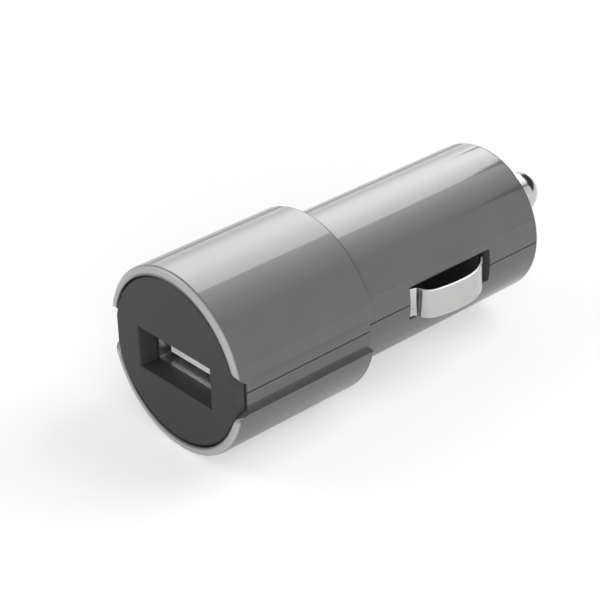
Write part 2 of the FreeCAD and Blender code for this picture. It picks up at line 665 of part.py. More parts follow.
def build_receptacle_shell():
    """The folded steel box with its two solder tabs."""
    run = ("Sizes.receptacle_recess", STEEL_REAR)
    folded = round_off("steel_folded",
                       block("steel_outside", evenly("Sizes.receptacle_width / 2"), run,
                             around(PORT_MIDDLE, "Sizes.receptacle_height")),
                       read("receptacle_round"), runs_along_y)
    inside = round_off("steel_bore",
                       block("steel_inside", evenly(STEEL_INNER_WIDTH), (f"{run[0]} - 1", f"{run[1]} + 1"),
                             around(PORT_MIDDLE, f"2 * {STEEL_INNER_HEIGHT}")),
                       read("receptacle_round") - read("receptacle_sheet"), runs_along_y)
    tabs = [block(f"steel_tab_{side}", on_side(sign, STEEL_INNER_WIDTH, "Sizes.receptacle_width / 2"),
                  ("Sizes.tab_front", "Sizes.tab_front + Sizes.tab_length"), ("0", PIN_TOP))
            for side, sign in SIDES]
    finish(join("usb_shell", [cut("steel_tube", folded, inside)] + tabs), "usb_shell")


def contact_places():
    """The four contacts from right to left."""
    return ("Sizes.contact_outer", "Sizes.contact_inner", "-Sizes.contact_inner", "-Sizes.contact_outer")


def build_tongue():
    """The pale moulding that carries the four contacts."""
    fit = "Sizes.receptacle_gap / 2"
    rear_block = round_off("tongue_block",
                           block("tongue_block_sharp", evenly(f"{STEEL_INNER_WIDTH} - {fit}"),
                                 (f"{STEEL_REAR} - Sizes.block_length", STEEL_REAR),
                                 around(PORT_MIDDLE, f"2 * ({STEEL_INNER_HEIGHT} - {fit})")),
                           read("receptacle_round") - read("receptacle_sheet"), runs_along_y)
    blade = block("tongue_blade", evenly("Sizes.tongue_width / 2"),
                  ("Sizes.tongue_recess", f"{STEEL_REAR} - Sizes.block_length"), (TONGUE_BOTTOM, TONGUE_TOP))
    grooves = [block(f"tongue_groove_{number}", around(middle, "Sizes.contact_width + 2 * Sizes.contact_gap"),
                     ("Sizes.tongue_recess + Sizes.contact_inset - Sizes.contact_gap", f"{STEEL_REAR} + 1"),
                     (CONTACT_BOTTOM, f"{CONTACT_TOP} + Sizes.contact_gap"))
               for number, middle in enumerate(contact_places(), start=1)]
    finish(cut("usb_tongue", join("tongue_solid", [rear_block, blade]), join("tongue_grooves", grooves)),
           "usb_tongue")


def build_contacts():
    """Four bent strips that lie on the tongue and stand up through the board behind it."""
    front = "Sizes.tongue_recess + Sizes.contact_inset"
    inner_rear = f"{CONTACT_REAR} - Sizes.contact_thickness"
    profile = [(front, CONTACT_BOTTOM), (CONTACT_REAR, CONTACT_BOTTOM), (CONTACT_REAR, PIN_TOP),
               (inner_rear, PIN_TOP), (inner_rear, CONTACT_TOP), (front, CONTACT_TOP)]
    for number, middle in enumerate(contact_places(), start=1):
        name = f"usb_contact_{number}"
        finish(padded(name, "YZ_Plane", profile, "Sizes.contact_width", True), name, x=middle)


# The circuit board and what stands on it

def build_board():
    """A board with a wide front half and a narrow tail, drilled for pins and tabs."""
    wide, narrow = "Sizes.board_half_width", "Sizes.board_tail_half_width"
    corners = [(f"-{wide}", "Sizes.board_front"), (wide, "Sizes.board_front"),
               (wide, "Sizes.board_shoulder"), (narrow, "Sizes.board_shoulder"),
               (narrow, "Sizes.board_rear"), (f"-{narrow}", "Sizes.board_rear"),
               (f"-{narrow}", "Sizes.board_shoulder"), (f"-{wide}", "Sizes.board_shoulder")]
    blank = padded("board_blank", "XY_Plane", corners, "Sizes.board_thickness")
    place(blank, z=BOARD_BOTTOM)
    through = (f"{BOARD_BOTTOM} - 1", f"{BOARD_TOP} + 1")
    pin_row = f"{CONTACT_REAR} - Sizes.contact_thickness / 2"
    holes = [post(f"board_hole_{number}", "Sizes.pin_hole_radius", middle, pin_row, through)
             for number, middle in enumerate(contact_places(), start=1)]
    for side, sign in SIDES:
        reach = on_side(sign, f"{STEEL_INNER_WIDTH} - Sizes.tab_gap",
                        "Sizes.receptacle_width / 2 + Sizes.tab_gap")
        run = ("Sizes.tab_front - Sizes.tab_gap", "Sizes.tab_front + Sizes.tab_length + Sizes.tab_gap")
        holes.append(block(f"board_slot_{side}", reach, run, through))
    finish(cut("circuit_board", blank, join("board_holes", holes)), "circuit_board")


def build_inductor():
    """A drum core under the board, behind the receptacle, with its winding between the flanges."""
    top = "-Sizes.inductor_flange"
    shoulder = "Sizes.inductor_flange - Sizes.inductor_height"
    core = [("0", "0"), ("Sizes.inductor_radius", "0"), ("Sizes.inductor_radius", top),
            ("Sizes.inductor_post", top), ("Sizes.inductor_post", shoulder),
            ("Sizes.inductor_radius", shoulder), ("Sizes.inductor_radius", "-Sizes.inductor_height"),
            ("0", "-Sizes.inductor_height")]
    inside = "Sizes.inductor_post + Sizes.winding_gap"
    outside = "Sizes.inductor_radius - Sizes.inductor_flange / 2"
    high, low = f"{top} - Sizes.winding_gap", f"{shoulder} + Sizes.winding_gap"
    coil = [(inside, low), (outside, low), (outside, high), (inside, high)]
    for name, corners in (("inductor_core", core), ("inductor_winding", coil)):
        finish(turned(name, corners, plane="XZ_Plane"), name, y="Sizes.inductor_place", z=BOARD_BOTTOM)


def build_capacitors():
    """Two crimped cans that hang under the board, behind the inductor."""
    radius, groove = "Sizes.capacitor_radius", "Sizes.capacitor_groove"
    can = [("0", "0"), (radius, "0"), (radius, f"-3 * {groove}"), (f"{radius} - {groove}", f"-4 * {groove}"),
           (radius, f"-5 * {groove}"), (radius, "-Sizes.capacitor_length"), ("0", "-Sizes.capacitor_length")]
    for name, sign in (("input_capacitor", 1), ("output_capacitor", -1)):
        finish(turned(name, can, plane="XZ_Plane"), name, x=f"{sign} * Sizes.capacitor_offset",
               y="Sizes.capacitor_place", z=BOARD_BOTTOM)


def build_controller():
    """The controller chip with its eight legs."""
    foot = (BOARD_TOP, f"{BOARD_TOP} + Sizes.lead_thickness")
    riser = (BOARD_TOP, f"{BOARD_TOP} + Sizes.lead_height")
    pieces = [block("chip_body", evenly("Sizes.chip_width / 2"),
                    around("Sizes.chip_place", "Sizes.chip_length"),
                    (f"{BOARD_TOP} + Sizes.chip_standoff", f"{BOARD_TOP} + Sizes.chip_height"))]
    for side, sign in SIDES:
        knee = "Sizes.chip_width / 2 + Sizes.lead_reach / 2"
        for number in range(4):
            run = around(f"Sizes.chip_place + {number - 1.5} * Sizes.lead_pitch", "Sizes.lead_width")
            toe = on_side(sign, knee, "Sizes.chip_width / 2 + Sizes.lead_reach")
            leg = on_side(sign, knee, f"{knee} + Sizes.lead_thickness")
            top = on_side(sign, "Sizes.chip_width / 2", f"{knee} + Sizes.lead_thickness")
            pieces.append(block(f"toe_{side}_{number}", toe, run, foot))
            pieces.append(block(f"leg_{side}_{number}", leg, run, riser))
            pieces.append(block(f"arm_{side}_{number}", top, run,
                                (f"{riser[1]} - Sizes.lead_thickness", riser[1])))
    finish(join("controller_chip", pieces), "controller_chip")


def capped_part(name, kind, x, y):
    """A small surface-mount part: a body with a slightly proud metal end at each end."""
    length, width, height = (f"Sizes.{kind}_{size}" for size in ("length", "width", "height"))
    pieces = [block(name + "_body", around(x, width), around(y, length),
                    (BOARD_TOP, f"{BOARD_TOP} + {height}"))]
    for end, sign in (("front", -1), ("rear", 1)):
        middle = f"{y} + {sign} * ({length} - Sizes.end_cap) / 2"
        pieces.append(block(f"{name}_{end}", around(x, f"{width} + 2 * Sizes.end_cap_rise"),
                            around(middle, "Sizes.end_cap"),
                            (BOARD_TOP, f"{BOARD_TOP} + {height} + Sizes.end_cap_rise")))
    finish(join(name, pieces), name)


def build_small_parts():
    """The diode on the right, the resistors and the ceramic capacitor on the left."""
    capped_part("rectifier_diode", "diode", "Sizes.diode_offset", "Sizes.diode_place")
    for number in (1, 2):
        capped_part(f"chip_resistor_{number}", "resistor", "-Sizes.resistor_offset",
                    f"Sizes.resistor_place + {number - 1} * Sizes.resistor_pitch")
    capped_part("ceramic_capacitor", "ceramic", "-Sizes.resistor_offset", "Sizes.ceramic_place")


# The contacts that meet the socket

def build_tip():
    """The ball-nosed pin, with the flange that keeps it in and a pilot for its spring."""
    nose = document.addObject("Part::Sphere", "tip_nose")
    nose.setExpression("Radius", "Sizes.tip_radius")
    place(nose, y=TIP_CENTRE)
    shank = rod("tip_shank", "Sizes.tip_radius", (FLANGE_FOOT, TIP_CENTRE))
    flange = rod("tip_flange", "Sizes.flange_radius", (FLANGE_FOOT, FLANGE_TOP))
    spigot = rod("tip_spigot", "Sizes.spigot_radius", (f"{FLANGE_FOOT} - Sizes.spigot_length", FLANGE_FOOT))
    finish(join("tip_contact", [nose, shank, flange, spigot]), "tip_contact", z="Sizes.tip_rise")


def wire_along(name, path, radius):
    """A facetted wire of one thickness that follows a line of points."""
    heading = (path[1] - path[0]).normalize()
    up = heading.cross(Vector(1, 0, 0)).normalize()
    out = up.cross(heading)
    angles = [math.tau * i / WIRE_FACETS for i in range(WIRE_FACETS)]
    ring = [path[0] + (out * math.cos(angle) + up * math.sin(angle)) * radius for angle in angles]
    section = Part.makePolygon(ring + ring[:1])
    item = document.addObject("Part::Feature", name)
    item.Shape = Part.makePolygon(path).makePipeShell([section], True, False, 1)
    finish(item, name)


def build_spring():
    """The coil between the solder cup and the tip's flange."""
    front = read("spring_wall_place") + read("spring_wall_thickness") + read("seat_plate")
    front += read("spring_wire") / 2
    rear = read("head_length") + read("barrel_length") - read("end_wall") - read("flange_rest_gap")
    rear -= read("flange_thickness") + read("spring_wire") / 2
    turns = read("spring_turns")
    steps = round(turns * COIL_FACETS)
    path = []
    for i in range(steps + 1):
        angle = math.tau * turns * i / steps
        path.append(Vector(read("spring_radius") * math.cos(angle), front + (rear - front) * i / steps,
                           read("tip_rise") + read("spring_radius") * math.sin(angle)))
    wire_along("tip_spring", path, read("spring_wire") / 2)


def build_spring_cup():
    """The solder cup that the spring stands in."""
    rim_inside = "Sizes.spring_radius + Sizes.spring_wire / 2 + Sizes.seat_gap"
    rim_outside = f"{rim_inside} + Sizes.seat_plate"
    corners = [("0", SPRING_WALL_REAR), (rim_outside, SPRING_WALL_REAR),
               (rim_outside, f"{SPRING_FRONT} + Sizes.seat_rim"),
               (rim_inside, f"{SPRING_FRONT} + Sizes.seat_rim"),
               (rim_inside, SPRING_FRONT), ("0", SPRING_FRONT)]
    finish(turned("spring_cup", corners), "spring_cup", z="Sizes.tip_rise")


def bend(start, heading, turn, radius):
    """An arc in the plan view that leaves a point on a heading; returns it, its end and the new heading."""
    side = math.copysign(1, turn)
    centre = start + Vector(-math.sin(heading), math.cos(heading), 0) * (side * radius)
    points = []
    for share in (0.5, 1):
        angle = heading + turn * share
        points.append(centre - Vector(-math.sin(angle), math.cos(angle), 0) * (side * radius))
    return Part.Arc(start, points[0], points[1]).toShape(), points[1], heading + turn


def build_leaves():
    """The two bowed ground leaves; each is a strip bent from one line of arcs."""
    front = read("window_front") + read("leaf_gap")
    half_width = read("leaf_half_width")
    thickness = read("leaf_thickness")
    point = Vector(read("barrel_radius") - read("leaf_foot_inset"), front, -half_width)
    start = point - Vector(read("leaf_foot_length"), 0, 0)
    edges = [Part.LineSegment(start, point).toShape()]
    heading = 0
    bends = ((FOOT_TURN, "leaf_corner_radius"), (-RETURN_TURN, "leaf_corner_radius"),
             (SHOULDER_TURN, "leaf_shoulder_radius"), (CROWN_TURN, "leaf_crown_radius"),
             (TAIL_TURN, "leaf_tail_radius"))
    for turn, radius in bends:
        edge, point, heading = bend(point, heading, math.radians(turn), read(radius))
        edges.append(edge)
    strip = Part.Wire(edges).makeOffset2D(-thickness, 0, True, True)
    tab = Part.makeBox(read("leaf_tab_width"), thickness, read("leaf_tab_drop"),
                       start - Vector(0, 0, read("leaf_tab_drop")))
    leaf = strip.extrude(Vector(0, 0, 2 * half_width)).fuse(tab).removeSplitter()
    other_leaf = leaf.mirror(Vector(), Vector(1, 0, 0))
    for name, solid in (("ground_leaf_right", leaf), ("ground_leaf_left", other_leaf)):
        item = document.addObject("Part::Feature", name)
        item.Shape = solid
        finish(item, name)


def build_wire():
    """The insulated wire from the spring's cup, through the spring wall, to the board."""
    low = read("board_thickness") / -2 + read("receptacle_height") / 2
    low -= read("wire_radius") + read("wire_clearance")
    places = [read("spring_wall_place") + read("spring_wall_thickness")]
    for run in ("wire_straight", "wire_slope", "wire_flat"):
        places.append(places[-1] - read(run))
    route = [Vector(0, y, z) for y, z in zip(places, (0, 0, low, low))]
    path = route[:1]
    for before, corner, after in zip(route, route[1:], route[2:]):
        into, out = (corner - before).normalize(), (after - corner).normalize()
        turn = into.getAngle(out)
        setback = read("wire_bend") * math.tan(turn / 2)
        first, last = corner - into * setback, corner + out * setback
        bisector = (out - into).normalize()
        centre = corner + bisector * (read("wire_bend") / math.cos(turn / 2))
        middle = centre - bisector * read("wire_bend")
        path += Part.Arc(first, middle, last).discretize(BEND_FACETS + 1)
    wire_along("positive_wire", path + route[-1:], read("wire_radius"))


def main():
    """Build every sub-part, check the document and write one file for each."""
    build_shells()
    build_insert()
    build_receptacle_shell()
    build_tongue()
    build_contacts()
    build_board()
    build_inductor()
    build_capacitors()
    build_controller()
    build_small_parts()
    build_tip()
    build_spring()
    build_spring_cup()
    build_leaves()
    build_wire()
    document.recompute()
    for item in document.Objects:
        if "Invalid" in item.State or "Error" in item.State:
            raise RuntimeError(f"{item.Name} did not build: {item.State}")
    os.makedirs("parts", exist_ok=True)
    for item in sub_parts:
        if item.Shape.isNull() or not item.Shape.isValid() or not item.Shape.Solids:
            raise RuntimeError(f"{item.Label} has no valid solid")
        item.Shape.exportStep(f"parts/{item.Label}.step")
        box = item.Shape.BoundBox
        print(f"{item.Label}: {len(item.Shape.Solids)} solid, {item.Shape.Volume:.1f} cubic mm, "
              f"x {box.XMin:.2f} {box.XMax:.2f}, y {box.YMin:.2f} {box.YMax:.2f}, "
              f"z {box.ZMin:.2f} {box.ZMax:.2f}")


main()
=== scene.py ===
"""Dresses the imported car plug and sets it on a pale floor, lit and seen as in the photograph.

Lengths are metres, and small ones are written in millimetres times MM. The frame is the part's own: +Y along
the plug from the port to the tip, +Z up, and the floor at Z = 0.
"""

import json
import math

import bmesh
import bpy
from mathutils import Matrix, Vector


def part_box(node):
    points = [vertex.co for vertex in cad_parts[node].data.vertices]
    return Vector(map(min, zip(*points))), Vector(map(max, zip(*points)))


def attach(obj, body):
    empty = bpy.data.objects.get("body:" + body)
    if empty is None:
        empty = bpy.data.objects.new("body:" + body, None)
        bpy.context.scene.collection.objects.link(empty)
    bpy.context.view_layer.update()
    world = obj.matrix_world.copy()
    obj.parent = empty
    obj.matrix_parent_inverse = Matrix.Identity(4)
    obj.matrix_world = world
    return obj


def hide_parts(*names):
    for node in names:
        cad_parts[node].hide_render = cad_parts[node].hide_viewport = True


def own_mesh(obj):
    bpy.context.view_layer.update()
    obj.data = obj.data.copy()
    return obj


MM = 0.001

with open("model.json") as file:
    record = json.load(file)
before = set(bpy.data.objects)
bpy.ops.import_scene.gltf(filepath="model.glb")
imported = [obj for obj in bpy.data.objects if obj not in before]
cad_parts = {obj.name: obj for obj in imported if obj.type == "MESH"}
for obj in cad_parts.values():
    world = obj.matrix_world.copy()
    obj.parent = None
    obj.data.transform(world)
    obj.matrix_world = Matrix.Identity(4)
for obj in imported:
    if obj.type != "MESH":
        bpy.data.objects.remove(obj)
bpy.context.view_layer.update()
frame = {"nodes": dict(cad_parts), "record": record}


# The plug's axis lies this high over the floor, and its face this far before the middle of its length.
AXIS_HEIGHT = 12.3 * MM
FACE = -31.32 * MM

# The pale lip on the face's rim is a painted highlight on its rounded edge: how far it reaches back, where it
# starts, and how softly it ends.
LIP_HIGHLIGHT_DEPTH = 0.28 * MM
LIP_HIGHLIGHT_RADIUS = 11.32 * MM
LIP_HIGHLIGHT_BLUR = 0.15 * MM
LIP_ROUGHNESS = 0.3

HOUSING_GREY = (0.073, 0.073, 0.073)
# The lip's pale grey is a painted highlight, the light that the face's rounded rim catches.
LIP_HIGHLIGHT_GREY = (0.34, 0.34, 0.34)
INSERT_GREY = (0.035, 0.035, 0.036)
NICKEL = (0.54, 0.54, 0.535)
PLASTIC_IOR = 1.5
GLOSS_PLASTIC_IOR = 1.58
WAVE_DEPTH = 0.004 * MM
SCRATCH_DEPTH = 0.00004 * MM


# ---- Node graphs -------------------------------------------------------------------------------

def shade(colour, amount):
    """A colour made lighter or darker."""
    return tuple(channel * amount for channel in colour)


class Graph:
    """A material's node tree, with the few node patterns that every finish here uses."""

    def __init__(self, name):
        self.material = bpy.data.materials.new(name)
        self.material.use_nodes = True
        self.nodes = self.material.node_tree.nodes
        self.links = self.material.node_tree.links
        self.shader = self.nodes["Principled BSDF"]
        self.place = self.add("ShaderNodeTexCoord").outputs["Object"]

    def add(self, kind, inputs=None, **settings):
        """A node with its settings and inputs; an input is a number, a colour or another node's output."""
        node = self.nodes.new(kind)
        for key, value in settings.items():
            setattr(node, key, value)
        for key, value in (inputs or {}).items():
            self.feed(node.inputs[key], value)
        return node

    def feed(self, socket, value):
        """Link a socket to another node's output, or set its number or colour."""
        if isinstance(value, bpy.types.NodeSocket):
            self.links.new(value, socket)
        elif hasattr(value, "__len__") and len(value) == 3 and socket.type == "RGBA":
            socket.default_value = (*value, 1)
        else:
            socket.default_value = value

    def stretched(self, scale):
        """Object coordinates, scaled per axis."""
        return self.add("ShaderNodeMapping", {"Vector": self.place, "Scale": scale}).outputs["Vector"]

    def noise(self, size, detail=3, roughness=0.55, stretch=(1, 1, 1)):
        """Noise whose grains are about size across."""
        return self.add("ShaderNodeTexNoise", {"Vector": self.stretched(stretch), "Scale": 1 / size,
                                               "Detail": detail, "Roughness": roughness}).outputs["Fac"]

    def spread(self, value, low, high, source=(0.3, 0.7)):
        """A value moved to another range; the source range is where noise has most of its values."""
        return self.add("ShaderNodeMapRange", {"Value": value, "From Min": source[0], "From Max": source[1],
                                               "To Min": low, "To Max": high}).outputs["Result"]

    def mix(self, factor, first, second):
        """A colour between two others; a Mix node has its colours in inputs 6 and 7 and in output 2."""
        node = self.add("ShaderNodeMix", data_type="RGBA")
        self.feed(node.inputs[0], factor)
        self.feed(node.inputs[6], first)
        self.feed(node.inputs[7], second)
        return node.outputs[2]

    def mottled(self, colour, cloud, amount):
        """A colour that grows darker and lighter by an amount with a cloud of noise."""
        return self.mix(self.spread(cloud, 0, 1), shade(colour, 1 - amount), shade(colour, 1 + amount))

    def math(self, operation, *values):
        """The result of one sum; each value is a number or another node's output."""
        node = self.add("ShaderNodeMath", operation=operation)
        for socket, value in zip(node.inputs, values):
            self.feed(socket, value)
        return node.outputs[0]

    def relief(self, *layers):
        """Bumps on bumps; each layer is a height and its depth."""
        normal = None
        for height, depth in layers:
            inputs = {"Height": height, "Distance": depth, "Strength": 1.0}
            if normal is not None:
                inputs["Normal"] = normal
            normal = self.add("ShaderNodeBump", inputs).outputs["Normal"]
        self.feed(self.shader.inputs["Normal"], normal)

    def finish(self, **inputs):
        """Set the shader's own sockets, with _ for each space in their names, and give the material."""
        for key, value in inputs.items():
            self.feed(self.shader.inputs[key.replace("_", " ")], value)
        return self.material


def polished_plastic(name, colour, lip_highlight_colour):
    """Moulded gloss plastic with faint haze and hair scratches, and a paler, satin lip round the face whose
    pale colour is a painted highlight on the rounded rim.
    """
    g = Graph(name)
    cloud = g.noise(6 * MM, detail=2)
    haze = g.noise(0.6 * MM, detail=4)
    scratches = g.noise(0.05 * MM, detail=2, stretch=(1, 0.02, 1))
    axes = g.add("ShaderNodeSeparateXYZ", {"Vector": g.place}).outputs
    height = g.math("SUBTRACT", axes["Z"], AXIS_HEIGHT)
    radius = g.math("SQRT", g.math("ADD", g.math("MULTIPLY", axes["X"], axes["X"]),
                                   g.math("MULTIPLY", height, height)))
    front = g.spread(axes["Y"], 1, 0, source=(FACE + LIP_HIGHLIGHT_DEPTH - LIP_HIGHLIGHT_BLUR, FACE + LIP_HIGHLIGHT_DEPTH + LIP_HIGHLIGHT_BLUR))
    rim = g.spread(radius, 0, 1, source=(LIP_HIGHLIGHT_RADIUS - LIP_HIGHLIGHT_BLUR, LIP_HIGHLIGHT_RADIUS + LIP_HIGHLIGHT_BLUR))
    # Where the lip is, the colour turns to the pale grey of a painted highlight on the rim.
    lip_highlight_mask = g.math("MULTIPLY", front, rim)
    gloss = g.math("ADD", g.spread(haze, 0.05, 0.09), g.spread(scratches, 0, 0.03, source=(0.55, 0.75)))
    waves = g.noise(3.5 * MM, detail=1)
    g.relief((waves, WAVE_DEPTH), (scratches, SCRATCH_DEPTH))
    return g.finish(Base_Color=g.mix(lip_highlight_mask, g.mottled(colour, cloud, 0.03), lip_highlight_colour), IOR=GLOSS_PLASTIC_IOR,
                    Roughness=g.spread(lip_highlight_mask, gloss, LIP_ROUGHNESS, source=(0, 1)))


def satin_plastic(name, colour, grain=0.12 * MM, depth=0.004 * MM, roughness=0.42, sheen=0.5):
    """Spark-eroded satin plastic: fine grain and slightly uneven gloss; sheen is the strength of that gloss."""
    g = Graph(name)
    speck = g.noise(grain, detail=3)
    cloud = g.noise(2.5 * MM, detail=3)
    g.relief((speck, depth))
    return g.finish(Base_Color=g.mottled(colour, cloud, 0.07), IOR=PLASTIC_IOR, Specular_IOR_Level=sheen,
                    Roughness=g.spread(cloud, roughness - 0.05, roughness + 0.05))


def metal(name, colour, roughness, stretch=(1, 1, 1), streak=0.06 * MM, depth=0.0006 * MM, tarnish=0.06):
    """Plated or rolled metal: streaks along its working direction and patches of faint tarnish."""
    g = Graph(name)
    streaks = g.noise(streak, detail=3, stretch=stretch)
    patches = g.noise(1.8 * MM, detail=4)
    colour_now = g.mix(g.spread(patches, 0, 1), shade(colour, 1 - tarnish), colour)
    rough = g.math("ADD", g.spread(streaks, roughness * 0.75, roughness * 1.25), g.spread(patches, 0, 0.04))
    g.relief((streaks, depth))
    return g.finish(Base_Color=colour_now, Metallic=1.0, Roughness=rough)


# The housing's pale lip round the face is a painted highlight.
housing_plastic = polished_plastic("housing_plastic", HOUSING_GREY, LIP_HIGHLIGHT_GREY)
insert_plastic = satin_plastic("insert_plastic", INSERT_GREY, sheen=0.2)
tongue_plastic = satin_plastic("tongue_plastic", (0.88, 0.88, 0.86), grain=0.2 * MM, roughness=0.35)
port_steel = metal("port_steel", (0.42, 0.42, 0.43), roughness=0.28, stretch=(1, 0.05, 1))
nickel_leaf = metal("nickel_leaf", NICKEL, roughness=0.16, stretch=(1, 0.04, 0.04))
nickel_tip = metal("nickel_tip", NICKEL, roughness=0.14, stretch=(0.03, 1, 0.03))
spring_steel = metal("spring_steel", (0.55, 0.55, 0.56), roughness=0.25, stretch=(0.05, 1, 0.05))
cup_nickel = metal("cup_nickel", NICKEL, roughness=0.24)
gold_flash = metal("gold_flash", (0.83, 0.62, 0.27), roughness=0.22, stretch=(1, 0.05, 1))
can_aluminium = metal("can_aluminium", (0.66, 0.67, 0.68), roughness=0.30, stretch=(1, 1, 0.05))
ferrite = satin_plastic("ferrite", (0.055, 0.055, 0.06), grain=0.08 * MM, depth=0.008 * MM, roughness=0.6)
epoxy = satin_plastic("epoxy", (0.03, 0.03, 0.033), grain=0.1 * MM, roughness=0.5)
ceramic = satin_plastic("ceramic", (0.46, 0.33, 0.20), grain=0.1 * MM, roughness=0.45)
tinned_lead = metal("tinned_lead", (0.62, 0.62, 0.63), roughness=0.28, stretch=(1, 1, 0.1))
solder = metal("solder", (0.66, 0.66, 0.67), roughness=0.2, streak=0.2 * MM)
copper = metal("copper", (0.62, 0.24, 0.09), roughness=0.3, stretch=(0.2, 0.2, 1), tarnish=0.2)
sleeve = satin_plastic("sleeve", (0.018, 0.03, 0.06), grain=0.3 * MM, roughness=0.3)
sleeve_stripe = satin_plastic("sleeve_stripe", (0.55, 0.57, 0.6), grain=0.3 * MM, roughness=0.35)
red_sleeve = satin_plastic("red_sleeve", (0.50, 0.035, 0.025), grain=0.3 * MM, roughness=0.38)


def solder_mask():
    """Green solder mask over traces, with the glass weave just showing."""
    g = Graph("solder_mask")
    traces = g.add("ShaderNodeTexBrick", {"Vector": g.stretched((1, 1, 1)), "Scale": 1 / (6 * MM),
                                          "Mortar Size": 0.06, "Color1": (0, 0, 0), "Color2": (0, 0, 0),
                                          "Mortar": (1, 1, 1)}).outputs["Color"]
    weave = g.noise(0.35 * MM, detail=1)
    colour = g.mix(traces, (0.010, 0.085, 0.030), (0.022, 0.150, 0.055))
    g.relief((weave, 0.003 * MM), (traces, 0.02 * MM))
    return g.finish(Base_Color=colour, Roughness=g.spread(weave, 0.28, 0.4), IOR=PLASTIC_IOR)


# ---- Pieces ------------------------------------------------------------------------------------

# Degrees between two faces: at the joins of a rounded rim's facets, and at an edge that counts as sharp.
FACET_JOIN = (24, 36)
SHARP_EDGE = (40, 181)
SAME_POINT = 0.0005 * MM
SAME_PLANE = math.radians(0.4)

NODE_BODY = {node: body for body, members in frame["record"]["behaviour"]["bodies"].items()
             for node in members}


def dressed(node, material, edge=0.06 * MM, rounding=0):
    """A copy of a CAD node with its sharp edges slightly broken, as moulded and pressed parts have them.

    Rounding first eases the shallow edges between the facets of a rounded rim.
    """
    mesh = frame["nodes"][node].data.copy()
    shape = bmesh.new()
    shape.from_mesh(mesh)
    bmesh.ops.remove_doubles(shape, verts=shape.verts, dist=SAME_POINT)
    bmesh.ops.dissolve_limit(shape, angle_limit=SAME_PLANE, verts=shape.verts, edges=shape.edges)
    for offset, (least, most) in ((rounding, FACET_JOIN), (edge, SHARP_EDGE)):
        if offset:
            picked = [line for line in shape.edges if line.is_manifold
                      and math.radians(least) < line.calc_face_angle() < math.radians(most)]
            bmesh.ops.bevel(shape, geom=picked, offset=offset, segments=2, profile=0.5,
                            affect="EDGES", clamp_overlap=True)
    shape.to_mesh(mesh)
    shape.free()
    mesh.name = node + "_dressed"
    mesh.materials.clear()
    mesh.materials.append(material)
    piece = bpy.data.objects.new(node + "_dressed", mesh)
    bpy.context.scene.collection.objects.link(piece)
    mesh.polygons.foreach_set("use_smooth", [True] * len(mesh.polygons))
    mesh.set_sharp_from_angle(angle=math.radians(SHARP_EDGE[0]))
    weights = piece.modifiers.new("flat_faces", "WEIGHTED_NORMAL")
    weights.keep_sharp = True
    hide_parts(node)
    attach(piece, NODE_BODY[node])
    return piece


for node in ("upper_shell", "lower_shell"):
    dressed(node, housing_plastic, rounding=0.1 * MM)
dressed("face_insert", insert_plastic, edge=0.08 * MM)
dressed("usb_shell", port_steel, edge=0.03 * MM)
dressed("usb_tongue", tongue_plastic, edge=0.05 * MM)
for number in range(1, 5):
    dressed(f"usb_contact_{number}", gold_flash, edge=0.03 * MM)
for side in ("right", "left"):
    dressed(f"ground_leaf_{side}", nickel_leaf, edge=0.03 * MM)
dressed("tip_contact", nickel_tip, edge=0.05 * MM)
dressed("spring_cup", cup_nickel, edge=0.04 * MM)
dressed("circuit_board", solder_mask(), edge=0.03 * MM)
dressed("inductor_core", ferrite, edge=0.08 * MM)


def sleeved(node, bare_end=0.35 * MM, stripe_half_turn=28, end_slope=0.9):
    """A can in its shrunk sleeve, with the pale stripe that marks one leg, and a bare end.

    A face belongs to an end of the can where its normal has a larger Z than end_slope.
    """
    can = dressed(node, can_aluminium, edge=0.08 * MM)
    low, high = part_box(node)
    for material in (sleeve, sleeve_stripe):
        can.data.materials.append(material)
    for face in can.data.polygons:
        if abs(face.normal.z) < end_slope and face.center.z > low.z + bare_end:
            outwards = Vector((face.center.x - (low.x + high.x) / 2, face.center.y - (low.y + high.y) / 2, 0))
            striped = outwards.angle(Vector((0, 1, 0))) < math.radians(stripe_half_turn)
            face.material_index = 2 if striped else 1


for node in ("input_capacitor", "output_capacitor"):
    sleeved(node)
for node in ("controller_chip", "rectifier_diode", "chip_resistor_1", "chip_resistor_2"):
    dressed(node, epoxy, edge=0.04 * MM)
dressed("ceramic_capacitor", ceramic, edge=0.04 * MM)


# ---- Round wires -------------------------------------------------------------------------------

def added(mesh, body, material, replaces=None):
    """A new piece that rides on a body, and may stand for a CAD node."""
    mesh.materials.append(material)
    mesh.polygons.foreach_set("use_smooth", [True] * len(mesh.polygons))
    piece = bpy.data.objects.new(mesh.name, mesh)
    bpy.context.scene.collection.objects.link(piece)
    if replaces:
        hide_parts(replaces)
    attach(piece, body)
    return piece


def skin(name, corners, sides):
    """A closed mesh over rings of corners with so many sides each, and a flat face over either end."""
    last_ring = len(corners) - sides
    faces = [(ring + i, ring + (i + 1) % sides, ring + sides + (i + 1) % sides, ring + sides + i)
             for ring in range(0, last_ring, sides) for i in range(sides)]
    faces += [tuple(range(sides))[::-1], tuple(last_ring + i for i in range(sides))]
    mesh = bpy.data.meshes.new(name)
    mesh.from_pydata([tuple(corner) for corner in corners], [], faces)
    return mesh


